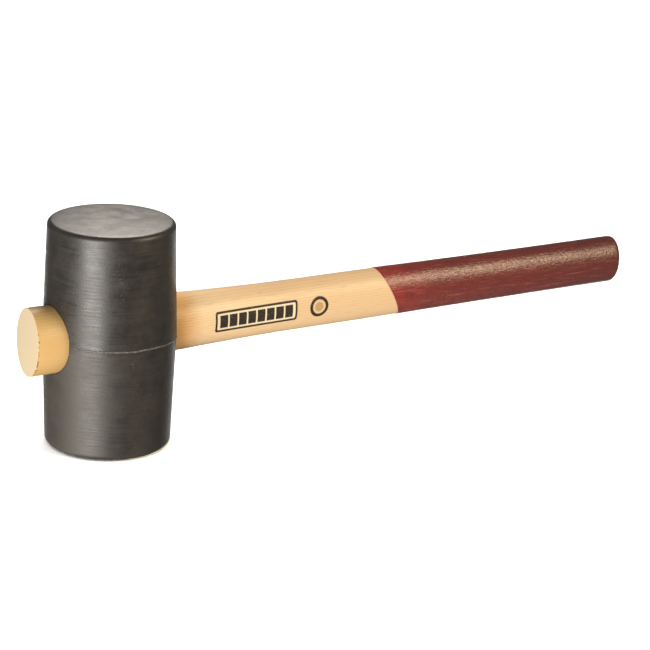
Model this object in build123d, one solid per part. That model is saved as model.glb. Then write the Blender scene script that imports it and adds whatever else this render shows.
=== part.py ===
from build123d import *
import os

# Rubber mallet: a solid moulded head pushed onto a tapered ash handle from its grip end, with the
# grip dipped in lacquer. Millimetres, +Z up the head's axis, handle along +X, origin at the
# centre of the head's lower striking face.

# Head
seam_diameter = 65.0  # at the parting line, half way up
face_diameter = 61.5  # at each striking face, less by the mould's draft
head_length = 112.5
rim_radius = 2.4  # rounding between side and striking face
flash_radius = 0.7  # trimmed flash along the parting line
flash_height = 0.35  # how far the flash stands proud of the rubber

# Handle, measured along X from the head's axis
butt_reach = 43.8  # thick end, past the head
grip_reach = 309.2
grip_end_rounding = 3.6
butt_yaw = -4.7  # degrees that the saw cut at the butt is off square, about Z
butt_pitch = 2.1  # and about Y
blank_reach = 52.0  # uncut stick past the head's axis, before the butt is sawn
oval_sizes = [  # (height, width) of the oval, evenly spaced from the uncut end to the grip end
    (32.4, 29.0),
    (33.0, 28.2),
    (30.9, 25.1),
    (28.6, 22.1),
    (26.9, 19.6),
    (26.5, 18.4),
    (26.5, 18.4),
    (25.8, 17.8),
    (25.4, 17.4),
    (25.2, 17.3),
    (25.0, 17.2),
    (24.9, 17.2),
]

# Lacquer on the grip
coat_thickness = 0.25
dip_reach = 159.3  # where the dip line crosses the handle's axis
dip_pitch = -27.7  # degrees that the dip line leans about Y, its upper end towards the head

handle_height = head_length / 2
oval_spacing = (blank_reach + grip_reach) / (len(oval_sizes) - 1)
cutter_size = 2 * (blank_reach + grip_reach)  # a block larger than anything it trims


def handle_blank(growth):
    """Oval stick through every size, its surface moved outward by growth."""
    start = Plane(origin=(growth - blank_reach, 0, handle_height), x_dir=(0, 1, 0), z_dir=(1, 0, 0))
    ovals = [
        start.offset(step * oval_spacing) * Ellipse(width / 2 + growth, height / 2 + growth)
        for step, (height, width) in enumerate(oval_sizes)
    ]
    stick = loft(ovals)
    grip_rim = stick.edges().sort_by(Axis.X)[-1]
    return fillet(grip_rim, grip_end_rounding + growth)


def block_behind(x, yaw, pitch):
    """Block whose front face crosses the handle's axis at x, on the head's side of it."""
    saw = Pos(x, 0, handle_height) * Rot(0, pitch, yaw)
    return saw * Box(cutter_size, cutter_size, cutter_size, align=(Align.MAX, Align.CENTER, Align.CENTER))


def ash_handle():
    return handle_blank(0) - block_behind(-butt_reach, butt_yaw, butt_pitch)


def rubber_head(handle):
    """Double cone with rounded rims and a bead of flash, pierced by the handle's own taper."""
    seam_radius, face_radius = seam_diameter / 2, face_diameter / 2
    outline = Plane.XZ * Polygon(
        (0, 0),
        (face_radius, 0),
        (seam_radius, head_length / 2),
        (face_radius, head_length),
        (0, head_length),
        align=None,
    )
    rims = outline.vertices().filter_by_position(Axis.X, face_radius, face_radius)
    outline = fillet(rims, rim_radius)
    bead = Plane.XZ * Pos(seam_radius + flash_height - flash_radius, head_length / 2) * Circle(flash_radius)
    return revolve(outline + bead, Axis.Z) - handle


def red_grip_coat(handle):
    """Thin skin of lacquer from the leaning dip line over the grip's rounded end."""
    return handle_blank(coat_thickness) - handle - block_behind(dip_reach, 0, dip_pitch)


os.makedirs("parts", exist_ok=True)
handle = ash_handle()
for node, solid in {
    "rubber_head": rubber_head(handle),
    "ash_handle": handle,
    "red_grip_coat": red_grip_coat(handle),
}.items():
    export_step(solid, f"parts/{node}.step")
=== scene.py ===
import math
import bpy
from mathutils import Matrix, Vector


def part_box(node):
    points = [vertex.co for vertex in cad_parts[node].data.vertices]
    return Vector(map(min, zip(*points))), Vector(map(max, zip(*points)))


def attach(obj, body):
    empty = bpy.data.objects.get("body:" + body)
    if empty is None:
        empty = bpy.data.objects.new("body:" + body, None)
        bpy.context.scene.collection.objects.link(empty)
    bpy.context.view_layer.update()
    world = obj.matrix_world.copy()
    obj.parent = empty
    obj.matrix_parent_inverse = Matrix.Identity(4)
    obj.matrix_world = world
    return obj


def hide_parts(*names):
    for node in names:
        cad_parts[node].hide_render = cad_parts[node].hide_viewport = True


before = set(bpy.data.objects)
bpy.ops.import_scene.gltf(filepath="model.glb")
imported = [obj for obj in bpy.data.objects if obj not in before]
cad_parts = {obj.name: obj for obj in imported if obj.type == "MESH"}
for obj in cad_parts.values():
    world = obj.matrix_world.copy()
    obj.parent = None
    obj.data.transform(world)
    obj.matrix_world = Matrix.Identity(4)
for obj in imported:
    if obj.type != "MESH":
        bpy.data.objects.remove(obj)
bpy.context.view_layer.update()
mm = 0.001


def linear(hexColour):  # sRGB hex to the linear values that a shader takes
    channels = [int(hexColour[i : i + 2], 16) / 255 for i in (1, 3, 5)]
    return [c / 12.92 if c <= 0.04045 else ((c + 0.055) / 1.055) ** 2.4 for c in channels] + [1.0]


def addNode(tree, kind, links=None, stops=None, points=None, **settings):
    node = tree.nodes.new(kind)
    for name, value in settings.items():
        setattr(node, name, value)
    sources = links.items() if isinstance(links, dict) else enumerate(links or [])
    for socket, source in sources:  # a node gives its first output, a socket is linked, a value is set
        if isinstance(source, bpy.types.Node):
            source = source.outputs[0]
        if isinstance(source, bpy.types.NodeSocket):
            tree.links.new(source, node.inputs[socket])
        else:
            node.inputs[socket].default_value = source
    if stops:  # a colour ramp starts with two stops
        ramp = node.color_ramp.elements
        for place, colour in stops[1:-1]:
            ramp.new(place).color = linear(colour)
        for element, (place, colour) in ((ramp[0], stops[0]), (ramp[-1], stops[-1])):
            element.position, element.color = place, linear(colour)
    if points:  # a float curve starts with two points
        curve = node.mapping.curves[0].points
        for place, height in points[1:-1]:
            curve.new(place, height)
        curve[0].location, curve[len(curve) - 1].location = points[0], points[-1]
        node.mapping.update()
    return node


def newTree(name, inputs, outputs):  # a Geometry Nodes tree or group with named sockets
    tree = bpy.data.node_groups.new(name, "GeometryNodeTree")
    for way, sockets in (("INPUT", inputs), ("OUTPUT", outputs)):
        for label, kind in sockets.items():
            tree.interface.new_socket(name=label, in_out=way, socket_type="NodeSocket" + kind)
    return tree, addNode(tree, "NodeGroupInput").outputs


def grow(name, tree, **values):  # gives a new piece the tree, each input set by its identifier
    piece = bpy.data.objects.new(name, bpy.data.meshes.new(name))
    bpy.context.scene.collection.objects.link(piece)
    modifier = piece.modifiers.new(tree.name, "NODES")
    modifier.node_group = tree
    for item in tree.interface.items_tree:
        if item.in_out == "INPUT":  # the value of "Start Cap" is startCap
            modifier[item.identifier] = values[item.name[0].lower() + item.name[1:].replace(" ", "")]
    return piece


def settle(piece, sharpFrom=40):  # what the modifiers make becomes the piece's own plain mesh
    evaluated = piece.evaluated_get(bpy.context.evaluated_depsgraph_get())
    mesh = bpy.data.meshes.new_from_object(evaluated)
    piece.modifiers.clear()
    piece.data = mesh
    mesh.shade_smooth()
    mesh.set_sharp_from_angle(angle=math.radians(sharpFrom))
    print(piece.name, len(mesh.polygons), "faces")
    return piece


def probe(node, start, direction):  # where a straight line first meets a CAD node
    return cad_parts[node].ray_cast(Vector(start), Vector(direction))[1]


# places and sizes that the frame gives
headLow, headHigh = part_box("rubber_head")
coatLow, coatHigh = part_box("red_grip_coat")
middleHeight = (headLow.z + headHigh.z) / 2
far = 1.0  # well outside the object
buttReach = probe("ash_handle", (-far, 0, middleHeight), (1, 0, 0)).x
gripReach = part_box("ash_handle")[1].x
flashStand = 0.35 * mm  # how far the CAD head's flash stands out of its rubber
seamRadius = (headHigh.y - headLow.y) / 2 - flashStand
halfLength = (headHigh.z - headLow.z) / 2
buttEye, gripEye = [  # half the angle that each eye takes out of the head's round
    math.asin(-probe("ash_handle", (x, -far, middleHeight), (0, 1, 0)).y / seamRadius)
    for x in (-seamRadius, seamRadius)
]
print("frame loaded, handle from", round(buttReach, 4), "to", round(gripReach, 4))

# camera: angles in degrees, lens and sensor in millimetres
cameraView = dict(
    azimuth=-32.88, elevation=18.44, roll=2.93, distance=1.230, lens=132.9, sensor=36, clipEnd=20,
    alongHandle=0.1239, belowMiddle=0.01396,
)


def addCamera(view):
    data = bpy.data.cameras.new("camera")
    data.lens, data.sensor_width, data.clip_end = view["lens"], view["sensor"], view["clipEnd"]
    camera = bpy.data.objects.new("camera", data)
    bpy.context.scene.collection.objects.link(camera)
    bpy.context.scene.camera = camera
    turn = (
        Matrix.Rotation(math.radians(view["azimuth"]), 4, "Z")
        @ Matrix.Rotation(math.radians(90 - view["elevation"]), 4, "X")
        @ Matrix.Rotation(math.radians(view["roll"]), 4, "Z")
    )
    aim = Vector((view["alongHandle"], 0, middleHeight - view["belowMiddle"]))
    camera.matrix_world = Matrix.Translation(aim + turn @ Vector((0, 0, view["distance"]))) @ turn


addCamera(cameraView)

# soft studio light: each box is aimed at the object from its azimuth and elevation in degrees
softboxes = {
    "tallLeft": dict(
        azimuth=-60, elevation=-6, distance=1.1, width=0.54, height=0.85, radiance=11.8, colour="#fffaf2",
    ),
    "lowLeft": dict(
        azimuth=-98, elevation=-40, distance=1.1, width=0.5, height=0.6, radiance=3.4, colour="#fff5e8",
        along=0,
    ),
    "overGrip": dict(
        azimuth=35, elevation=26, distance=1.3, width=0.5, height=0.5, radiance=13.0, colour="#ffecc4",
        along=0.18,
    ),
    "behindHead": dict(
        azimuth=150, elevation=43, distance=0.22, width=0.1, height=0.07, radiance=17.0, colour="#fff7ec",
        along=0, above=0.056,
    ),
    "underFill": dict(
        azimuth=25, elevation=-50, distance=1.3, width=0.8, height=0.5, radiance=1.4, colour="#ffe9cf",
    ),
    "backFill": dict(azimuth=150, elevation=-24, distance=1.5, width=1.8, height=0.6, radiance=1.9),
}
floorWash = dict(azimuth=0, elevation=90, distance=3.0, width=8.0, height=8.0, radiance=2.1)
plainBox = dict(colour="#ffffff", along=0.1, above=0)  # what a box has unless its own values differ
roomLight = dict(colour="#ffffff", strength=0.2)


def addSoftbox(name, values):
    box = {**plainBox, **values}
    data = bpy.data.lights.new(name, "AREA")
    data.shape, data.size, data.size_y = "RECTANGLE", box["width"], box["height"]
    data.energy = box["radiance"] * math.pi * box["width"] * box["height"]
    data.color = linear(box["colour"])[:3]
    light = bpy.data.objects.new(name, data)
    bpy.context.scene.collection.objects.link(light)
    turn = Matrix.Rotation(math.radians(box["azimuth"]), 4, "Z") @ Matrix.Rotation(
        math.radians(90 - box["elevation"]), 4, "X"
    )
    aim = Vector((box["along"], 0, middleHeight + box["above"]))
    light.matrix_world = Matrix.Translation(aim + turn @ Vector((0, 0, box["distance"]))) @ turn
    light.visible_camera = False
    return light


for name, box in softboxes.items():
    addSoftbox(name, box)
world = bpy.data.worlds.new("room")
world.use_nodes = True
background = world.node_tree.nodes["Background"].inputs
background["Color"].default_value = linear(roomLight["colour"])
background["Strength"].default_value = roomLight["strength"]
bpy.context.scene.world = world
bpy.context.scene.view_settings.view_transform = "Standard"
print("camera and light placed")


# materials: a range maps the low and high ends of a value to new ones, and tones are the colours
# that a value from 0 to 1 runs through
def newMaterial(name, **shaderValues):  # a material, its tree, shader inputs and object coordinates
    material = bpy.data.materials.new(name)
    material.use_nodes = True
    tree = material.node_tree
    shader = tree.nodes["Principled BSDF"]
    for socket, value in shaderValues.items():
        shader.inputs[socket.replace("_", " ")].default_value = value
    return material, tree, shader.inputs, addNode(tree, "ShaderNodeTexCoord").outputs["Object"]


def perSize(*sizes):  # the scale that stretches a pattern to these sizes along x, y and z
    return [1 / size for size in sizes]


# Moulded rubber: carbon black filled and satin, with the turning lines of its steel mould copied
# onto it, so its highlights are wide and streaky. It is brown-black and a little mottled. The lower
# half is duller than the upper and, towards the butt, is lightened by a painted sheen for how the
# light falls there. Two patches are scuffed, and the striking faces are chalky in patches, partly
# wear and partly a painted reflection of the light on the top face.
rubberFinish = dict(
    tones=((0.3, "#1a1714"), (0.72, "#2c2722")), shine=0.7, roughRange=(0.7, 1.3, 0.34, 0.54),
    lineScale=perSize(22 * mm, 22 * mm, 0.85 * mm), lineNoise=dict(Scale=1.0, Detail=3.0),
    mottleNoise=dict(Scale=1 / (9 * mm), Detail=5.0, Roughness=0.65),
    speckNoise=dict(Scale=1 / (0.9 * mm), Detail=2.0),
    lineBump=dict(Distance=0.075 * mm, Strength=1.0), speckBump=dict(Distance=0.035 * mm, Strength=1.0),
    lowerRange=(middleHeight - 4 * mm, middleHeight, 1.0, 0.0), dullLower=0.07,
    # painted sheen: the lower half is lightened towards the butt for how the light falls there
    bloom="#57524a", bloomRange=(-6 * mm, -26 * mm, 0.0, 0.27),
    # chalk: partly wear and partly a painted reflection of the light on the top face
    chalk="#a09c95", chalkNoise=dict(Scale=1 / (14 * mm), Detail=6.0, Roughness=0.7),
    chalkRange=(0.42, 0.62, 0.0, 0.45), faceRange=(halfLength - 0.6 * mm, halfLength - 0.2 * mm, 0.0, 1.0),
    scuffs=(  # the middle and half the size of each, along and up
        (-9.5 * mm, 5 * mm, 92 * mm, 24 * mm),
        (-2.5 * mm, 7 * mm, 50 * mm, 5.5 * mm),
    ),
    dust="#5c574f", dustFrom=(0.0, 1.0, 0.7, 0.45), dustRange=(0.0, 0.15, 0.0, 0.3),
)


def mouldedRubber(finish):
    material, tree, shader, place = newMaterial("mouldedRubber", Specular_IOR_Level=finish["shine"])
    at = addNode(tree, "ShaderNodeSeparateXYZ", [place]).outputs
    drawn = addNode(tree, "ShaderNodeMapping", {"Vector": place, "Scale": finish["lineScale"]})
    lines = addNode(tree, "ShaderNodeTexNoise", {"Vector": drawn, **finish["lineNoise"]})
    mottle = addNode(tree, "ShaderNodeTexNoise", {"Vector": place, **finish["mottleNoise"]})
    specks = addNode(tree, "ShaderNodeTexNoise", {"Vector": place, **finish["speckNoise"]})
    body = addNode(tree, "ShaderNodeValToRGB", [mottle], stops=finish["tones"])

    # scuffs: only in front, each fading from its middle to its edges
    front = addNode(tree, "ShaderNodeMath", [at[1], 0.0], operation="LESS_THAN")
    scuffed = 0.0
    for x, halfWidth, z, halfHeight in finish["scuffs"]:
        reach = front
        for socket, middle, half in ((at[0], x, halfWidth), (at[2], z, halfHeight)):
            away = addNode(tree, "ShaderNodeMath", [socket, middle], operation="SUBTRACT")
            size = addNode(tree, "ShaderNodeMath", [away], operation="ABSOLUTE")
            fade = addNode(tree, "ShaderNodeMapRange", [size, 0.0, half, 1.0, 0.0])
            reach = addNode(tree, "ShaderNodeMath", [reach, fade], operation="MULTIPLY")
        scuffed = addNode(tree, "ShaderNodeMath", [scuffed, reach], operation="MAXIMUM")
    eased = addNode(tree, "ShaderNodeMapRange", [scuffed, *finish["dustFrom"]])
    over = addNode(tree, "ShaderNodeMath", [specks, eased], operation="SUBTRACT")
    dusty = addNode(tree, "ShaderNodeMapRange", [over, *finish["dustRange"]])

    # painted sheen on the lower half, towards the butt: that side is lightened for how the light falls
    # there
    lower = addNode(tree, "ShaderNodeMapRange", [at[2], *finish["lowerRange"]])
    aside = addNode(tree, "ShaderNodeMapRange", [at[0], *finish["bloomRange"]])
    paintedSheenMask = addNode(tree, "ShaderNodeMath", [lower, aside], operation="MULTIPLY")
    bloom = linear(finish["bloom"])
    withPaintedSheen = addNode(tree, "ShaderNodeMix", {0: paintedSheenMask, 6: body, 7: bloom}, data_type="RGBA").outputs[2]

    # chalk on the two striking faces, partly wear and partly a painted reflection: on the top face the pale
    # patches stand for the light's mottled reflection
    rise = addNode(tree, "ShaderNodeMath", [at[2], middleHeight], operation="SUBTRACT")
    above = addNode(tree, "ShaderNodeMath", [rise], operation="ABSOLUTE")
    face = addNode(tree, "ShaderNodeMapRange", [above, *finish["faceRange"]])
    patchNoise = addNode(tree, "ShaderNodeTexNoise", {"Vector": place, **finish["chalkNoise"]})
    chalkAndReflectionPatches = addNode(tree, "ShaderNodeMapRange", [patchNoise, *finish["chalkRange"]])
    chalkAndReflectionMask = addNode(tree, "ShaderNodeMath", [face, chalkAndReflectionPatches], operation="MULTIPLY")
    chalk, dust = linear(finish["chalk"]), linear(finish["dust"])
    withChalkAndReflection = addNode(tree, "ShaderNodeMix", {0: chalkAndReflectionMask, 6: withPaintedSheen, 7: chalk}, data_type="RGBA").outputs[2]
    colour = addNode(tree, "ShaderNodeMix", {0: dusty, 6: withChalkAndReflection, 7: dust}, data_type="RGBA").outputs[2]
    tree.links.new(colour, shader["Base Color"])

    mixed = addNode(tree, "ShaderNodeMath", [lines, mottle], operation="ADD")
    patchy = addNode(tree, "ShaderNodeMapRange", [mixed, *finish["roughRange"]])
    rough = addNode(tree, "ShaderNodeMath", [lower, finish["dullLower"], patchy], operation="MULTIPLY_ADD")
    tree.links.new(rough.outputs[0], shader["Roughness"])
    grooved = addNode(tree, "ShaderNodeBump", {"Height": lines, **finish["lineBump"]})
    grained = addNode(tree, "ShaderNodeBump", {"Height": specks, "Normal": grooved, **finish["speckBump"]})
    tree.links.new(grained.outputs[0], shader["Normal"])
    return material


# Torn rubber: the flash was trimmed off by hand, and where rubber tears it is paler and dull. The paleness
# is also a painted highlight along the seam.
tornAndPaintedHighlightFinish = dict(
    tones=((0.3, "#45423e"), (0.7, "#716e6a")), tearNoise=dict(Scale=1 / (1.6 * mm)), roughness=0.45,
)


def tornRubber(finish):
    material, tree, shader, place = newMaterial("tornRubber", Roughness=finish["roughness"])
    tears = addNode(tree, "ShaderNodeTexNoise", {"Vector": place, **finish["tearNoise"]})
    colour = addNode(tree, "ShaderNodeValToRGB", [tears], stops=finish["tones"])
    tree.links.new(colour.outputs[0], shader["Base Color"])
    return material


# Ash, turned, sanded and clear varnished: pale cream wood with close growth lines that run along
# it, darker early wood with short open pores, and a satin film over them.
ashFinish = dict(
    tones=((0.0, "#e6bc86"), (0.35, "#f9d9ae"), (0.8, "#f9d9ae"), (1.0, "#e6bc86")), late="#f9d9ae",
    shine=0.5, roughRange=(0.35, 0.65, 0.37, 0.5), poreBump=dict(Distance=0.04 * mm, Strength=0.6),
    ringCentre=(0.0, 24 * mm, 62 * mm), ringGap=1.35 * mm,
    wander=(0.0, 1.6 * mm, 1.6 * mm), wanderScale=perSize(150 * mm, 18 * mm, 18 * mm),
    wanderNoise=dict(Scale=1.0, Detail=1.0),
    pore="#c8955c", poreScale=perSize(7 * mm, 0.5 * mm, 0.5 * mm), poreNoise=dict(Scale=1.0, Detail=3.0),
    poreRange=(0.58, 0.74, 0.0, 0.45),
    blotchNoise=dict(Scale=45.0, Detail=2.0), blotchRange=(0.3, 0.7, 0.4, 0.8),
    torn="#7a5429", tornReach=3.4 * mm, tornNoise=dict(W=3.0, Scale=1 / (1.6 * mm), Detail=2.0),
    tornLimits=(0.43, 1.0), tornRange=(0.0, 0.05, 0.0, 0.8),
    tints=(  # places along the handle, from the butt towards the grip, and the painted light and shade that tints the wood there
        (-45 * mm, "#d6caa8"),
        (28 * mm, "#d6caa8"),
        (34 * mm, "#fde0b6"),
        (46 * mm, "#ffffff"),
        (90 * mm, "#ebe7e3"),
    ),
)


def ashRings(tree, place, finish):  # 0 to 1 across each year's growth, about an axis along X
    slow = addNode(tree, "ShaderNodeMapping", {"Vector": place, "Scale": finish["wanderScale"]})
    noise = addNode(tree, "ShaderNodeTexNoise", {"Vector": slow, **finish["wanderNoise"]}).outputs[1]
    shift = addNode(
        tree, "ShaderNodeVectorMath", [noise, finish["wander"], place], operation="MULTIPLY_ADD"
    )
    centred = addNode(tree, "ShaderNodeMapping", {"Vector": shift, "Location": finish["ringCentre"]})
    return addNode(
        tree,
        "ShaderNodeTexWave",
        {"Vector": centred, "Scale": math.pi / 10 / finish["ringGap"], "Distortion": 0.0},
        wave_type="RINGS",
        rings_direction="X",
        wave_profile="SAW",
    ).outputs[1]


def varnishedAsh(finish):
    material, tree, shader, place = newMaterial("varnishedAsh", Specular_IOR_Level=finish["shine"])
    rings = ashRings(tree, place, finish)
    drawn = addNode(tree, "ShaderNodeMapping", {"Vector": place, "Scale": finish["poreScale"]})
    fibres = addNode(tree, "ShaderNodeTexNoise", {"Vector": drawn, **finish["poreNoise"]})
    wood = addNode(tree, "ShaderNodeValToRGB", [rings], stops=finish["tones"])
    blotch = addNode(tree, "ShaderNodeTexNoise", {"Vector": place, **finish["blotchNoise"]})
    softened = addNode(tree, "ShaderNodeMapRange", [blotch, *finish["blotchRange"]])
    late, pore, dark = linear(finish["late"]), linear(finish["pore"]), linear(finish["torn"])
    even = addNode(tree, "ShaderNodeMix", {0: softened, 6: wood, 7: late}, data_type="RGBA").outputs[2]

    # painted light and shade along the handle: darker round the butt where the light falls strongly,
    # lighter and more orange by the head where the head shades it, and a little dimmer towards the grip
    low, high = finish["tints"][0][0], finish["tints"][-1][0]
    alongIt = addNode(tree, "ShaderNodeSeparateXYZ", [place])
    share = addNode(tree, "ShaderNodeMapRange", [alongIt, low, high])
    stops = [((x - low) / (high - low), colour) for x, colour in finish["tints"]]
    paintedLightTint = addNode(tree, "ShaderNodeValToRGB", [share], stops=stops)
    withPaintedLight = addNode(
        tree, "ShaderNodeMix", {0: 1.0, 6: even, 7: paintedLightTint}, data_type="RGBA", blend_type="MULTIPLY"
    ).outputs[2]
    pores = addNode(tree, "ShaderNodeMapRange", [fibres, *finish["poreRange"]])
    porous = addNode(tree, "ShaderNodeMix", {0: pores, 6: withPaintedLight, 7: pore}, data_type="RGBA").outputs[2]

    # the saw tore out a few fibres along the butt's edge
    tears = addNode(
        tree, "ShaderNodeTexNoise", {"Vector": place, **finish["tornNoise"]}, noise_dimensions="4D"
    )
    cut = [low, low + finish["tornReach"], *finish["tornLimits"]]
    nearCut = addNode(tree, "ShaderNodeMapRange", [alongIt, *cut])
    depth = addNode(tree, "ShaderNodeMath", [tears, nearCut], operation="SUBTRACT")
    chipped = addNode(tree, "ShaderNodeMapRange", [depth, *finish["tornRange"]])
    colour = addNode(tree, "ShaderNodeMix", {0: chipped, 6: porous, 7: dark}, data_type="RGBA").outputs[2]
    tree.links.new(colour, shader["Base Color"])
    rough = addNode(tree, "ShaderNodeMapRange", [fibres, *finish["roughRange"]])
    tree.links.new(rough.outputs[0], shader["Roughness"])
    bump = addNode(tree, "ShaderNodeBump", {"Height": fibres, **finish["poreBump"]})
    tree.links.new(bump.outputs[0], shader["Normal"])
    return material


# Sawn end grain: bare, rough and paler than the varnished side, with the year rings as arcs,
# rows of open pores and the upright scratches that the saw's teeth leave.
endFinish = dict(
    tones=((0.0, "#c2b091"), (0.4, "#c6b596"), (1.0, "#c6b596")), pit="#c2b091", roughness=0.8,
    poreNoise=dict(Scale=1 / (0.45 * mm), Detail=2.0), pitRange=(0.5, 0.75, 0.0, 0.6),
    sawScale=perSize(1.7 * mm, 1.7 * mm, 30 * mm), sawNoise=dict(Scale=1.0, Detail=5.0),
    sawBump=dict(Distance=0.1 * mm, Strength=0.8),
)


def sawnEndGrain(finish, wood):
    material, tree, shader, place = newMaterial("sawnEndGrain", Roughness=finish["roughness"])
    rings = ashRings(tree, place, wood)
    pores = addNode(tree, "ShaderNodeTexNoise", {"Vector": place, **finish["poreNoise"]})
    pitted = addNode(tree, "ShaderNodeMapRange", [pores, *finish["pitRange"]])
    grain = addNode(tree, "ShaderNodeValToRGB", [rings], stops=finish["tones"])
    pit = linear(finish["pit"])
    colour = addNode(tree, "ShaderNodeMix", {0: pitted, 6: grain, 7: pit}, data_type="RGBA").outputs[2]
    tree.links.new(colour, shader["Base Color"])
    drawn = addNode(tree, "ShaderNodeMapping", {"Vector": place, "Scale": finish["sawScale"]})
    teeth = addNode(tree, "ShaderNodeTexNoise", {"Vector": drawn, **finish["sawNoise"]})
    bump = addNode(tree, "ShaderNodeBump", {"Height": teeth, **finish["sawBump"]})
    tree.links.new(bump.outputs[0], shader["Normal"])
    return material


# Dipped lacquer: a thin pigmented film on unfilled wood, so it is glossy but the grain prints
# through and breaks its highlight. It is lighter and redder by the dip line, darker towards the grip end,
# and worn in specks.
lacquerFinish = dict(
    nearDip="#93302a", red="#77302a", redStart=24 * mm, farEnd="#602c27",
    shine=0.62, roughRange=(0.35, 0.65, 0.23, 0.39),
    grainScale=perSize(3.2 * mm, 0.5 * mm, 0.5 * mm), grainNoise=dict(Scale=1.0, Detail=3.0),
    grainBump=dict(Distance=0.12 * mm, Strength=1.0),
    peelNoise=dict(Scale=1 / (1.6 * mm), Detail=2.0), peelBump=dict(Distance=0.18 * mm, Strength=1.0),
    deep="#602a26", blotchNoise=dict(Scale=1 / (7 * mm), Detail=3.0), blotchRange=(0.4, 0.7, 0.0, 0.5),
    speck="#bb7468", wornRange=(0.59, 0.74, 0.0, 0.65),
    streakScale=perSize(16 * mm, 0.5 * mm, 0.5 * mm), streakNoise=dict(Scale=1.0, Detail=4.0),
)


def dippedLacquer(finish, dipReach):
    material, tree, shader, place = newMaterial("dippedLacquer", Specular_IOR_Level=finish["shine"])
    alongIt = addNode(tree, "ShaderNodeSeparateXYZ", [place])
    drawn = addNode(tree, "ShaderNodeMapping", {"Vector": place, "Scale": finish["grainScale"]})
    grain = addNode(tree, "ShaderNodeTexNoise", {"Vector": drawn, **finish["grainNoise"]})
    blotch = addNode(tree, "ShaderNodeTexNoise", {"Vector": place, **finish["blotchNoise"]})
    share = addNode(tree, "ShaderNodeMapRange", [alongIt, dipReach, gripReach])
    reddest = finish["redStart"] / (gripReach - dipReach)
    stops = [(0.0, finish["nearDip"]), (reddest, finish["red"]), (1.0, finish["farEnd"])]
    film = addNode(tree, "ShaderNodeValToRGB", [share], stops=stops)
    cloudy = addNode(tree, "ShaderNodeMapRange", [blotch, *finish["blotchRange"]])
    deep, speck = linear(finish["deep"]), linear(finish["speck"])
    thin = addNode(tree, "ShaderNodeMix", {0: cloudy, 6: film, 7: deep}, data_type="RGBA").outputs[2]
    combed = addNode(tree, "ShaderNodeMapping", {"Vector": place, "Scale": finish["streakScale"]})
    streaks = addNode(tree, "ShaderNodeTexNoise", {"Vector": combed, **finish["streakNoise"]})
    worn = addNode(tree, "ShaderNodeMapRange", [streaks, *finish["wornRange"]])
    colour = addNode(tree, "ShaderNodeMix", {0: worn, 6: thin, 7: speck}, data_type="RGBA").outputs[2]
    tree.links.new(colour, shader["Base Color"])
    rough = addNode(tree, "ShaderNodeMapRange", [grain, *finish["roughRange"]])
    tree.links.new(rough.outputs[0], shader["Roughness"])
    peel = addNode(tree, "ShaderNodeTexNoise", {"Vector": place, **finish["peelNoise"]})
    printed = addNode(tree, "ShaderNodeBump", {"Height": grain, **finish["grainBump"]})
    rippled = addNode(tree, "ShaderNodeBump", {"Height": peel, "Normal": printed, **finish["peelBump"]})
    tree.links.new(rippled.outputs[0], shader["Normal"])
    return material


# Pad-printed ink: a matt film that sits in the wood's texture, so it is slightly broken up.
inkFinish = dict(
    dark="#261d14", pale="#ecdcbc", brown="#bd9a69", roughness=0.55,
    flawNoise=dict(Scale=1 / (0.5 * mm), Detail=2.0), flawRange=(0.6, 0.85, 0.0, 0.4),
)


def printedInk(name, colour, wood, finish):
    material, tree, shader, place = newMaterial(name, Roughness=finish["roughness"])
    flaws = addNode(tree, "ShaderNodeTexNoise", {"Vector": place, **finish["flawNoise"]})
    thin = addNode(tree, "ShaderNodeMapRange", [flaws, *finish["flawRange"]])
    ink, bare = linear(colour), linear(wood["late"])
    mixed = addNode(tree, "ShaderNodeMix", {0: thin, 6: ink, 7: bare}, data_type="RGBA").outputs[2]
    tree.links.new(mixed, shader["Base Color"])
    return material


# Seamless studio paper: matt, nearly white, with a trace of fibre.
paperFinish = dict(
    tones=((0.3, "#f0f0ef"), (0.7, "#f4f4f3")), fibreNoise=dict(Scale=1 / (3 * mm)),
    roughness=0.9, shine=0.1,
)


def studioPaper(finish):
    material, tree, shader, place = newMaterial(
        "studioPaper", Roughness=finish["roughness"], Specular_IOR_Level=finish["shine"]
    )
    fibre = addNode(tree, "ShaderNodeTexNoise", {"Vector": place, **finish["fibreNoise"]})
    colour = addNode(tree, "ShaderNodeValToRGB", [fibre], stops=finish["tones"])
    tree.links.new(colour.outputs[0], shader["Base Color"])
    return material


rubber = mouldedRubber(rubberFinish)
torn = tornRubber(tornAndPaintedHighlightFinish)
ash = varnishedAsh(ashFinish)
endGrain = sawnEndGrain(endFinish, ashFinish)
darkInk, paleInk, brownInk = [
    printedInk(name + "Ink", inkFinish[name], ashFinish, inkFinish) for name in ("dark", "pale", "brown")
]
print("materials made")

# oval of the handle, measured off the CAD stick at even stations
ovalFit = dict(
    stations=15, clearButt=3 * mm, clearGrip=6 * mm, fullScale=20 * mm, ripple=0.04 * mm, rippleScale=25.0,
)


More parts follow.
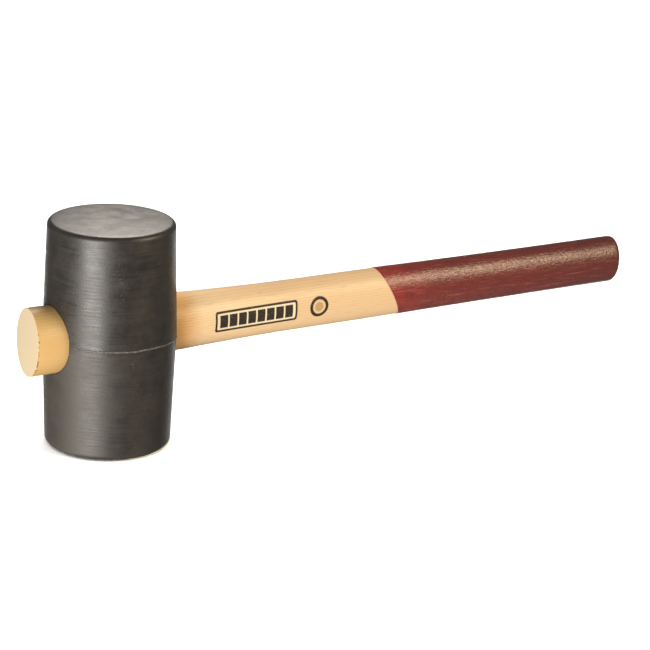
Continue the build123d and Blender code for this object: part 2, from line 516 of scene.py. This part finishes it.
def buildOvalSize(fit):  # x along the handle in, half the width and half the height of its oval out
    low, high = buttReach + fit["clearButt"], gripReach - fit["clearGrip"]
    widths, heights = [], []
    for i in range(fit["stations"]):
        share = i / (fit["stations"] - 1)
        x = low + share * (high - low)
        side = probe("ash_handle", (x, -far, middleHeight), (0, 1, 0))
        top = probe("ash_handle", (x, 0, far), (0, 0, -1))
        widths.append((share, -side.y / fit["fullScale"]))
        heights.append((share, (top.z - middleHeight) / fit["fullScale"]))
    tree, given = newTree("ovalSize", {"X": "Float"}, {"Half Width": "Float", "Half Height": "Float"})
    share = addNode(tree, "ShaderNodeMapRange", [given["X"], low, high])
    noise = addNode(
        tree, "ShaderNodeTexNoise", {"W": given["X"], "Scale": fit["rippleScale"]}, noise_dimensions="1D"
    )
    swing = addNode(tree, "ShaderNodeMapRange", {0: noise, 3: -fit["ripple"], 4: fit["ripple"]})
    halves = []
    for points in (widths, heights):
        curve = addNode(tree, "ShaderNodeFloatCurve", {"Value": share}, points=points)
        halves.append(
            addNode(tree, "ShaderNodeMath", [curve, fit["fullScale"], swing], operation="MULTIPLY_ADD")
        )
    addNode(tree, "NodeGroupOutput", {"Half Width": halves[0], "Half Height": halves[1]})
    return tree


def buildOvalStick():  # a closed or open-ended tube along X with the handle's oval section
    sockets = {name: "Float" for name in ("Start", "End", "Skin", "Start Softness", "Middle Height")}
    sockets.update({"Lean": "Vector", "Start Cap": "Bool", "Rings": "Int", "Sides": "Int"})
    sockets.update({"Material": "Material", "Start Material": "Material"})
    tree, given = newTree("ovalStick", sockets, {"Geometry": "Geometry"})
    start, end = [addNode(tree, "ShaderNodeCombineXYZ", {"X": given[name]}) for name in ("Start", "End")]
    line = addNode(tree, "GeometryNodeCurvePrimitiveLine", {"Start": start, "End": end})
    path = addNode(tree, "GeometryNodeResampleCurve", {"Curve": line, "Count": given["Rings"]})
    oval = addNode(tree, "GeometryNodeCurvePrimitiveCircle", {"Resolution": given["Sides"], "Radius": 1.0})
    tube = addNode(
        tree, "GeometryNodeCurveToMesh", {"Curve": path, "Profile Curve": oval, "Fill Caps": True}
    )
    position = addNode(tree, "GeometryNodeInputPosition")
    at = addNode(tree, "ShaderNodeSeparateXYZ", [position]).outputs
    near = 0.01 * mm
    isStart, isEnd = [
        addNode(tree, "ShaderNodeMath", [at[0], given[name], near], operation="COMPARE")
        for name in ("Start", "End")
    ]
    weight = addNode(
        tree, "ShaderNodeMath", [isStart, given["Start Softness"], isEnd], operation="MULTIPLY_ADD"
    )
    weighted = addNode(
        tree,
        "GeometryNodeStoreNamedAttribute",
        {"Geometry": tube, "Name": "bevel_weight_edge", "Value": weight},
        data_type="FLOAT",
        domain="EDGE",
    )
    sided = addNode(tree, "GeometryNodeSetMaterial", {"Geometry": weighted, "Material": given["Material"]})
    capped = addNode(
        tree,
        "GeometryNodeSetMaterial",
        {"Geometry": sided, "Selection": isStart, "Material": given["Start Material"]},
    )
    uncapped = addNode(tree, "FunctionNodeBooleanMath", [isStart, given["Start Cap"]], operation="NIMPLY")
    kept = addNode(
        tree, "GeometryNodeDeleteGeometry", {"Geometry": capped, "Selection": uncapped}, domain="FACE"
    )
    fade = addNode(tree, "ShaderNodeMapRange", [at[0], given["Start"], given["End"], 1.0, 0.0])
    x = at[0]
    for step in ("find the lean", "measure the oval there"):
        size = addNode(tree, "GeometryNodeGroup", [x], node_tree=ovalSize).outputs
        halves = [addNode(tree, "ShaderNodeMath", [half, given["Skin"]], operation="ADD") for half in size]
        y = addNode(tree, "ShaderNodeMath", [at[1], halves[0]], operation="MULTIPLY")
        z = addNode(tree, "ShaderNodeMath", [at[2], halves[1]], operation="MULTIPLY")
        if step == "find the lean":
            across = addNode(tree, "ShaderNodeCombineXYZ", {"Y": y, "Z": z})
            lean = addNode(
                tree, "ShaderNodeVectorMath", [across, given["Lean"]], operation="DOT_PRODUCT"
            ).outputs["Value"]
            x = addNode(tree, "ShaderNodeMath", [lean, fade, at[0]], operation="MULTIPLY_ADD")
    raised = addNode(tree, "ShaderNodeMath", [z, given["Middle Height"]], operation="ADD")
    place = addNode(tree, "ShaderNodeCombineXYZ", {"X": x, "Y": y, "Z": raised})
    shaped = addNode(tree, "GeometryNodeSetPosition", {"Geometry": kept, "Position": place})
    plain = addNode(tree, "GeometryNodeRealizeInstances", [shaped])
    addNode(tree, "NodeGroupOutput", [plain])
    return tree


def softenEdges(piece, sizes):  # rounds the edges that the tree gave a weight
    bevel = piece.modifiers.new("soften", "BEVEL")
    bevel.limit_method, bevel.use_clamp_overlap = "WEIGHT", False
    bevel.width, bevel.segments = sizes["gripRounding"], sizes["roundingSteps"]


ovalSize = buildOvalSize(ovalFit)
ovalStick = buildOvalStick()

# handle: the saw cut at the butt is a few degrees off square
handleSizes = dict(
    ringGap=4.5 * mm, sides=144, gripRounding=3.6 * mm, roundingSteps=8, startSoftness=0.1,
    lean=(0, 0.082, 0.037),
)


def ashHandle(sizes):
    piece = grow(
        "ash_handle_turned", ovalStick, **sizes, start=buttReach, end=gripReach, skin=0.0, startCap=True,
        rings=round((gripReach - buttReach) / sizes["ringGap"]), middleHeight=middleHeight,
        material=ash, startMaterial=endGrain,
    )
    softenEdges(piece, sizes)
    return settle(piece)


handle = ashHandle(handleSizes)
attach(handle, "root")
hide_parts("ash_handle")

# lacquer on the grip: it was dipped at a slant, so its edge crosses the handle obliquely
coatSizes = dict(ringGap=4.5 * mm, sides=144, thickness=0.22 * mm, clearance=0.02 * mm, slant=-0.525)


def gripCoat(sizes):
    piece = grow(
        "grip_lacquer_film", ovalStick, **sizes, start=dipCentre, end=coatHigh.x, startCap=False,
        skin=sizes["thickness"] + sizes["clearance"], startSoftness=0.0, lean=(0, 0, sizes["slant"]),
        rings=round((coatHigh.x - dipCentre) / sizes["ringGap"]), middleHeight=middleHeight,
        material=lacquer, startMaterial=lacquer,
    )
    softenEdges(piece, handleSizes)
    wall = piece.modifiers.new("wall", "SOLIDIFY")
    wall.thickness, wall.offset = sizes["thickness"], -1
    return settle(piece)


dipCentre = coatLow.x - coatSizes["slant"] * (coatHigh.z - middleHeight)
lacquer = dippedLacquer(lacquerFinish, dipCentre)
coat = gripCoat(coatSizes)
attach(coat, "root")
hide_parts("red_grip_coat")

# head: two shallow cones that meet at the parting line, with rounded rims
headSizes = dict(
    rim=2.4 * mm, crown=0.5 * mm, draft=1.75 * mm, waviness=0.06 * mm, wavinessSize=25 * mm, lip=0.8 * mm,
    columns=320, rows=210, faceRings=10, bunchColumns=0.45, bunchRows=0.35, rimShare=0.07,
    eyeClearance=0.04 * mm, eyeRings=40,
)


def buildMouldedHead():  # a unit cylinder whose points are moved onto the moulding
    names = "Seam Radius,Draft,Half Length,Rim,Crown,Waviness,Waviness Size,Lip,Middle Height"
    names += ",Bunch Columns,Bunch Rows,Rim Share"
    sockets = {name: "Float" for name in names.split(",")}
    sockets.update({"Columns": "Int", "Rows": "Int", "Face Rings": "Int", "Material": "Material"})
    tree, given = newTree("mouldedHead", sockets, {"Geometry": "Geometry"})
    cuts = {"Vertices": "Columns", "Side Segments": "Rows", "Fill Segments": "Face Rings"}
    counts = {socket: given[name] for socket, name in cuts.items()}
    barrel = addNode(
        tree,
        "GeometryNodeMeshCylinder",
        {**counts, "Radius": 1.0, "Depth": 2.0},
        fill_type="TRIANGLE_FAN",
    )
    position = addNode(tree, "GeometryNodeInputPosition")
    at = addNode(tree, "ShaderNodeSeparateXYZ", [position]).outputs
    depthSquared = addNode(tree, "ShaderNodeMath", [at[1], at[1]], operation="MULTIPLY")
    squared = addNode(tree, "ShaderNodeMath", [at[0], at[0], depthSquared], operation="MULTIPLY_ADD")
    outward = addNode(tree, "ShaderNodeMath", [squared], operation="SQRT")

    # columns crowd towards the two eyes
    turn = addNode(tree, "ShaderNodeMath", [at[1], at[0]], operation="ARCTAN2")
    double = addNode(tree, "ShaderNodeMath", [turn, 2.0], operation="MULTIPLY")
    swing = addNode(tree, "ShaderNodeMath", [double], operation="SINE")
    crowded = addNode(tree, "ShaderNodeMath", [swing, given["Bunch Columns"]], operation="MULTIPLY")
    shift = addNode(tree, "ShaderNodeMath", [crowded, 0.5], operation="MULTIPLY")
    angle = addNode(tree, "ShaderNodeMath", [turn, shift], operation="SUBTRACT")
    cosine = addNode(tree, "ShaderNodeMath", [angle], operation="COSINE")
    sine = addNode(tree, "ShaderNodeMath", [angle], operation="SINE")

    # rows crowd towards the middle, and the last rows turn the rim
    row = addNode(tree, "ShaderNodeMath", [at[2]], operation="ABSOLUTE")
    side = addNode(tree, "ShaderNodeMath", [at[2]], operation="SIGN")
    rimStart = addNode(tree, "ShaderNodeMath", [1.0, given["Rim Share"]], operation="SUBTRACT")
    climbed = addNode(tree, "ShaderNodeMath", [row, rimStart], operation="DIVIDE")
    climb = addNode(tree, "ShaderNodeMath", [climbed, 1.0], operation="MINIMUM")
    halfTurn = addNode(tree, "ShaderNodeMath", [climb, math.pi], operation="MULTIPLY")
    swell = addNode(tree, "ShaderNodeMath", [halfTurn], operation="SINE")
    bunched = addNode(tree, "ShaderNodeMath", [swell, given["Bunch Rows"]], operation="MULTIPLY")
    eased = addNode(tree, "ShaderNodeMath", [bunched, math.pi], operation="DIVIDE")
    share = addNode(tree, "ShaderNodeMath", [climb, eased], operation="SUBTRACT")
    beyond = addNode(tree, "ShaderNodeMath", [row, rimStart], operation="SUBTRACT")
    inRim = addNode(tree, "ShaderNodeMath", [beyond, 0.0], operation="MAXIMUM")
    past = addNode(tree, "ShaderNodeMath", [inRim, given["Rim Share"]], operation="DIVIDE")
    bend = addNode(tree, "ShaderNodeMath", [past, math.pi / 2], operation="MULTIPLY")
    bendSine = addNode(tree, "ShaderNodeMath", [bend], operation="SINE")
    bendCosine = addNode(tree, "ShaderNodeMath", [bend], operation="COSINE")

    # height and radius of the drafted side, the rim and the crowned face
    flatTop = addNode(tree, "ShaderNodeMath", [given["Half Length"], given["Crown"]], operation="SUBTRACT")
    straight = addNode(tree, "ShaderNodeMath", [flatTop, given["Rim"]], operation="SUBTRACT")
    rimRise = addNode(tree, "ShaderNodeMath", [bendSine, given["Rim"]], operation="MULTIPLY")
    rise = addNode(tree, "ShaderNodeMath", [share, straight, rimRise], operation="MULTIPLY_ADD")
    inward = addNode(tree, "ShaderNodeMath", [1.0, bendCosine], operation="SUBTRACT")
    tuck = addNode(tree, "ShaderNodeMath", [inward, given["Rim"]], operation="MULTIPLY")
    height = addNode(tree, "ShaderNodeMath", [rise, given["Half Length"]], operation="DIVIDE")
    taper = addNode(tree, "ShaderNodeMath", [height, given["Draft"]], operation="MULTIPLY")
    drafted = addNode(tree, "ShaderNodeMath", [given["Seam Radius"], taper], operation="SUBTRACT")
    full = addNode(tree, "ShaderNodeMath", [drafted, tuck], operation="SUBTRACT")
    radius = addNode(tree, "ShaderNodeMath", [full, outward], operation="MULTIPLY")
    area = addNode(tree, "ShaderNodeMath", [outward, outward], operation="MULTIPLY")
    fromRim = addNode(tree, "ShaderNodeMath", [1.0, area], operation="SUBTRACT")
    domed = addNode(tree, "ShaderNodeMath", [fromRim, given["Crown"], rise], operation="MULTIPLY_ADD")
    z = addNode(tree, "ShaderNodeMath", [domed, side], operation="MULTIPLY")

    # the rubber turns in round each eye where the handle presses through
    x = addNode(tree, "ShaderNodeMath", [radius, cosine], operation="MULTIPLY")
    y = addNode(tree, "ShaderNodeMath", [radius, sine], operation="MULTIPLY")
    oval = addNode(tree, "GeometryNodeGroup", [x], node_tree=ovalSize).outputs
    acrossOval = addNode(tree, "ShaderNodeMath", [y, oval[0]], operation="DIVIDE")
    upOval = addNode(tree, "ShaderNodeMath", [z, oval[1]], operation="DIVIDE")
    ovals, reach = [
        addNode(
            tree,
            "ShaderNodeVectorMath",
            [addNode(tree, "ShaderNodeCombineXYZ", pair)],
            operation="LENGTH",
        ).outputs["Value"]
        for pair in ([acrossOval, upOval], [y, z])
    ]
    edge = addNode(tree, "ShaderNodeMath", [reach, ovals], operation="DIVIDE")
    away = addNode(tree, "ShaderNodeMath", [reach, edge], operation="SUBTRACT")
    close = addNode(tree, "ShaderNodeMapRange", [away, 0.0, given["Lip"], 1.0, 0.0])
    closeSquared = addNode(tree, "ShaderNodeMath", [close, close], operation="MULTIPLY")
    left = addNode(tree, "ShaderNodeMath", [1.0, closeSquared], operation="SUBTRACT")
    bulge = addNode(tree, "ShaderNodeMath", [left], operation="SQRT")
    curl = addNode(tree, "ShaderNodeMath", [1.0, bulge], operation="SUBTRACT")
    turnedIn = addNode(tree, "ShaderNodeMath", [curl, given["Lip"]], operation="MULTIPLY")
    lipped = addNode(tree, "ShaderNodeMath", [radius, turnedIn], operation="SUBTRACT")

    # the side is not quite even
    spot = addNode(tree, "ShaderNodeCombineXYZ", [x, y, z])
    scale = addNode(tree, "ShaderNodeMath", [1.0, given["Waviness Size"]], operation="DIVIDE")
    wavy = addNode(tree, "ShaderNodeTexNoise", {"Vector": spot, "Scale": scale, "Detail": 1.0})
    wave = addNode(tree, "ShaderNodeMath", [wavy, 0.5], operation="SUBTRACT")
    waveHeight = addNode(tree, "ShaderNodeMath", [given["Waviness"], outward], operation="MULTIPLY")
    final = addNode(tree, "ShaderNodeMath", [wave, waveHeight, lipped], operation="MULTIPLY_ADD")
    finalX = addNode(tree, "ShaderNodeMath", [final, cosine], operation="MULTIPLY")
    finalY = addNode(tree, "ShaderNodeMath", [final, sine], operation="MULTIPLY")
    raised = addNode(tree, "ShaderNodeMath", [z, given["Middle Height"]], operation="ADD")
    place = addNode(tree, "ShaderNodeCombineXYZ", [finalX, finalY, raised])
    shaped = addNode(tree, "GeometryNodeSetPosition", {"Geometry": barrel, "Position": place})
    plain = addNode(tree, "GeometryNodeRealizeInstances", [shaped])
    done = addNode(tree, "GeometryNodeSetMaterial", {"Geometry": plain, "Material": given["Material"]})
    addNode(tree, "NodeGroupOutput", [done])
    return tree


mouldedHead = buildMouldedHead()


def rubberHead(sizes):
    piece = grow(
        "rubber_head_moulded", mouldedHead, **sizes, seamRadius=seamRadius, halfLength=halfLength,
        middleHeight=middleHeight, material=rubber,
    )
    cutter = grow(
        "eye_cutter", ovalStick, start=-2 * seamRadius, end=2 * seamRadius, startCap=True,
        skin=sizes["eyeClearance"], startSoftness=0.0, lean=(0, 0, 0), rings=sizes["eyeRings"],
        sides=handleSizes["sides"], middleHeight=middleHeight, material=rubber, startMaterial=rubber,
    )
    eye = piece.modifiers.new("eye", "BOOLEAN")
    eye.operation, eye.solver, eye.object = "DIFFERENCE", "EXACT", cutter
    settle(piece)
    bpy.data.objects.remove(cutter)
    return piece


head = rubberHead(headSizes)
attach(head, "root")
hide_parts("rubber_head")

# flash: the thin trimmed fin that the two mould halves leave along their joint
flashSizes = dict(
    bead=0.5 * mm, stand=0.38 * mm, wobble=0.5 * mm, drop=2.4 * mm, pointGap=0.6 * mm, sides=10,
    frontSeed=3, backSeed=8, nearEye=0.06, waves=(6.0, 40.0), waveNoise=dict(Scale=1.0, Detail=2.0),
    swellRange=(0.3, 0.7, 0.85, 1.05), endSlope=30.0, sharpFrom=80,
)


def buildPartingFlash(sizes):  # a bead on an arc that wanders, sinks by the grip and thins at its ends
    names = "Radius,Start Angle,Sweep,Bead,Stand,Wobble,Drop,Middle Height"
    sockets = {name: "Float" for name in names.split(",")}
    sockets.update({"Points": "Int", "Sides": "Int", "Seed": "Int", "Material": "Material"})
    tree, given = newTree("partingFlash", sockets, {"Geometry": "Geometry"})
    outer = addNode(tree, "ShaderNodeMath", [given["Radius"], given["Stand"]], operation="ADD")
    radius = addNode(tree, "ShaderNodeMath", [outer, given["Bead"]], operation="SUBTRACT")
    arc = addNode(
        tree,
        "GeometryNodeCurveArc",
        {
            "Resolution": given["Points"],
            "Radius": radius,
            "Start Angle": given["Start Angle"],
            "Sweep Angle": given["Sweep"],
        },
    )
    along = addNode(tree, "GeometryNodeSplineParameter").outputs["Factor"]
    noises = []
    for wave in sizes["waves"]:
        spread = addNode(tree, "ShaderNodeMath", [along, wave], operation="MULTIPLY")
        seeded = addNode(tree, "ShaderNodeMath", [spread, given["Seed"]], operation="ADD")
        links = {"W": seeded, **sizes["waveNoise"]}
        noises.append(addNode(tree, "ShaderNodeTexNoise", links, noise_dimensions="1D"))
    slow, quick = noises
    position = addNode(tree, "GeometryNodeInputPosition")
    acrossHead = addNode(tree, "ShaderNodeSeparateXYZ", [position])
    toGrip = addNode(tree, "ShaderNodeMapRange", [acrossHead, 0.0, given["Radius"]])
    toGripSquared = addNode(tree, "ShaderNodeMath", [toGrip, toGrip], operation="MULTIPLY")
    sink = addNode(tree, "ShaderNodeMath", [toGripSquared, given["Drop"]], operation="MULTIPLY")
    swing = addNode(tree, "ShaderNodeMath", [slow, 0.5], operation="SUBTRACT")
    width = addNode(tree, "ShaderNodeMath", [given["Wobble"], 2.0], operation="MULTIPLY")
    wander = addNode(tree, "ShaderNodeMath", [swing, width], operation="MULTIPLY")
    sunk = addNode(tree, "ShaderNodeMath", [wander, sink], operation="SUBTRACT")
    raised = addNode(tree, "ShaderNodeMath", [sunk, given["Middle Height"]], operation="ADD")
    lift = addNode(tree, "ShaderNodeCombineXYZ", {"Z": raised})
    moved = addNode(tree, "GeometryNodeSetPosition", {"Geometry": arc, "Offset": lift})
    toEnd = addNode(tree, "ShaderNodeMath", [1.0, along], operation="SUBTRACT")
    inside = addNode(tree, "ShaderNodeMath", [along, toEnd], operation="MULTIPLY")
    ends = addNode(tree, "ShaderNodeMath", [inside, sizes["endSlope"]], operation="MULTIPLY")
    taper = addNode(tree, "ShaderNodeMath", [ends, 1.0], operation="MINIMUM")
    swell = addNode(tree, "ShaderNodeMapRange", [quick, *sizes["swellRange"]])
    fullness = addNode(tree, "ShaderNodeMath", [taper, swell], operation="MULTIPLY")
    thickness = addNode(tree, "ShaderNodeMath", [fullness, given["Bead"]], operation="MULTIPLY")
    bead = addNode(tree, "GeometryNodeCurvePrimitiveCircle", {"Resolution": given["Sides"], "Radius": 1.0})
    fin = addNode(
        tree,
        "GeometryNodeCurveToMesh",
        {"Curve": moved, "Profile Curve": bead, "Scale": thickness, "Fill Caps": True},
    )
    plain = addNode(tree, "GeometryNodeRealizeInstances", [fin])
    done = addNode(tree, "GeometryNodeSetMaterial", {"Geometry": plain, "Material": given["Material"]})
    addNode(tree, "NodeGroupOutput", [done])
    return tree


partingFlash = buildPartingFlash(flashSizes)


def seamFlash(name, startAngle, endAngle, seed, sizes):
    sweep = endAngle - startAngle
    piece = grow(
        name, partingFlash, **sizes, radius=seamRadius, startAngle=startAngle, sweep=sweep, seed=seed,
        points=round(sweep * seamRadius / sizes["pointGap"]), middleHeight=middleHeight, material=torn,
    )
    return settle(piece, sizes["sharpFrom"])


buttSide, gripSide = buttEye + flashSizes["nearEye"], gripEye + flashSizes["nearEye"]
for name, startAngle, endAngle, seed in (
    ("seam_flash_front", math.pi + buttSide, 2 * math.pi - gripSide, flashSizes["frontSeed"]),
    ("seam_flash_back", gripSide, math.pi - buttSide, flashSizes["backSeed"]),
):
    flash = seamFlash(name, startAngle, endAngle, seed, flashSizes)
    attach(flash, "root")

# printed mark: a plain framed row of blocks and a ring, in the place where a maker prints a name
markSizes = dict(
    panelStart=53 * mm, panelEnd=101 * mm, halfHeight=5.3 * mm, line=1.1 * mm, corner=1.2 * mm,
    cornerPoints=4, blocks=8, blockHeight=6.4 * mm, blockWidth=4.5 * mm, blockGrid=(6, 8),
    groundGrid=(60, 16), ringCentre=114 * mm, ringRadius=5.4 * mm, ringShares=(1.0, 0.7, 0.45, 0.02),
    pointGap=0.6 * mm, lift=0.03 * mm,
)


def buildPrintedMark(sizes):
    sockets = {"Middle Height": "Float", "Dark": "Material", "Pale": "Material", "Brown": "Material"}
    tree, given = newTree("printedMark", sockets, {"Geometry": "Geometry"})

    def inked(shape, material, x, layer):  # a flat shape moved to its place and given its ink
        move = (x, 0, layer * sizes["lift"])
        moved = addNode(tree, "GeometryNodeTransform", {"Geometry": shape, "Translation": move})
        return addNode(tree, "GeometryNodeSetMaterial", {"Geometry": moved, "Material": given[material]})

    def band(outer, inner):  # the area between two closed curves
        both = addNode(tree, "GeometryNodeJoinGeometry")
        for curve in (outer, inner):
            links = {"Curve": curve, "Length": sizes["pointGap"]}
            fine = addNode(tree, "GeometryNodeResampleCurve", links, mode="LENGTH")
            tree.links.new(fine.outputs[0], both.inputs[0])
        return addNode(tree, "GeometryNodeFillCurve", [both])

    def panel(width, height, corner):  # a rectangle with rounded corners
        sheet = addNode(tree, "GeometryNodeCurvePrimitiveQuadrilateral", {"Width": width, "Height": height})
        links = {"Curve": sheet, "Radius": corner, "Count": sizes["cornerPoints"], "Limit Radius": True}
        return addNode(tree, "GeometryNodeFilletCurve", links, mode="POLY")

    width, height, line = sizes["panelEnd"] - sizes["panelStart"], 2 * sizes["halfHeight"], sizes["line"]
    middle = (sizes["panelEnd"] + sizes["panelStart"]) / 2
    frameShape = band(
        panel(width, height, sizes["corner"]),
        panel(width - 2 * line, height - 2 * line, sizes["corner"] - line / 2),
    )
    ground, block = [
        addNode(
            tree,
            "GeometryNodeMeshGrid",
            {"Size X": sizeX, "Size Y": sizeY, "Vertices X": grid[0], "Vertices Y": grid[1]},
        )
        for sizeX, sizeY, grid in (
            (width - line, height - line, sizes["groundGrid"]),
            (sizes["blockWidth"], sizes["blockHeight"], sizes["blockGrid"]),
        )
    ]
    pitch = (width - 4 * line) / sizes["blocks"]  # the row stays two lines inside the panel's ends
    first = (-pitch * (sizes["blocks"] - 1) / 2, 0, 0)
    row = addNode(
        tree,
        "GeometryNodeMeshLine",
        {"Count": sizes["blocks"], "Start Location": first, "Offset": (pitch, 0, 0)},
    )
    blocks = addNode(tree, "GeometryNodeInstanceOnPoints", {"Points": row, "Instance": block})
    circles = [
        addNode(tree, "GeometryNodeCurvePrimitiveCircle", {"Radius": sizes["ringRadius"] * share})
        for share in sizes["ringShares"]
    ]
    shapes = [
        inked(ground, "Pale", middle, 1),
        inked(frameShape, "Dark", middle, 2),
        inked(blocks, "Dark", middle, 2),
        inked(band(circles[0], circles[1]), "Dark", sizes["ringCentre"], 2),
        inked(band(circles[2], circles[3]), "Brown", sizes["ringCentre"], 2),
    ]
    joined = addNode(tree, "GeometryNodeJoinGeometry")
    for shape in reversed(shapes):
        tree.links.new(shape.outputs[0], joined.inputs[0])
    plain = addNode(tree, "GeometryNodeRealizeInstances", [joined])

    # the flat print is wrapped onto the front of the oval
    position = addNode(tree, "GeometryNodeInputPosition")
    at = addNode(tree, "ShaderNodeSeparateXYZ", [position]).outputs
    oval = addNode(tree, "GeometryNodeGroup", [at[0]], node_tree=ovalSize).outputs
    halfWidth = addNode(tree, "ShaderNodeMath", [oval[0], at[2]], operation="ADD")
    halfHeight = addNode(tree, "ShaderNodeMath", [oval[1], at[2]], operation="ADD")
    up = addNode(tree, "ShaderNodeMath", [at[1], halfHeight], operation="DIVIDE")
    upSquared = addNode(tree, "ShaderNodeMath", [up, up], operation="MULTIPLY")
    left = addNode(tree, "ShaderNodeMath", [1.0, upSquared], operation="SUBTRACT")
    bulge = addNode(tree, "ShaderNodeMath", [left], operation="SQRT")
    out = addNode(tree, "ShaderNodeMath", [bulge, halfWidth], operation="MULTIPLY")
    front = addNode(tree, "ShaderNodeMath", [out, -1.0], operation="MULTIPLY")
    raised = addNode(tree, "ShaderNodeMath", [at[1], given["Middle Height"]], operation="ADD")
    place = addNode(tree, "ShaderNodeCombineXYZ", [at[0], front, raised])
    wrapped = addNode(tree, "GeometryNodeSetPosition", {"Geometry": plain, "Position": place})
    addNode(tree, "NodeGroupOutput", [wrapped])
    return tree


printedMark = buildPrintedMark(markSizes)
mark = grow(
    "printed_mark", printedMark, middleHeight=middleHeight, dark=darkInk, pale=paleInk, brown=brownInk
)
film = mark.modifiers.new("film", "SOLIDIFY")
film.thickness, film.offset = markSizes["lift"], -1
settle(mark)
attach(mark, "root")

# floor
floorSizes = dict(half=4.0, drop=0.1 * mm)


def studioFloor(sizes):
    mesh = bpy.data.meshes.new("studio_floor")
    signs = ((-1, -1), (1, -1), (1, 1), (-1, 1))
    corners = [(x * sizes["half"], y * sizes["half"], -sizes["drop"]) for x, y in signs]
    mesh.from_pydata(corners, [], [(0, 1, 2, 3)])
    mesh.materials.append(studioPaper(paperFinish))
    floor = bpy.data.objects.new("studio_floor", mesh)
    bpy.context.scene.collection.objects.link(floor)
    return floor


floor = studioFloor(floorSizes)
# the paper is out of the object's light, as a glass table would be, and has a wash of its own
floor.visible_shadow = floor.visible_glossy = floor.visible_diffuse = False
paperOnly = bpy.data.collections.new("paperOnly")
paperOnly.objects.link(floor)
addSoftbox("floorWash", floorWash).light_linking.receiver_collection = paperOnly
print("floor laid")
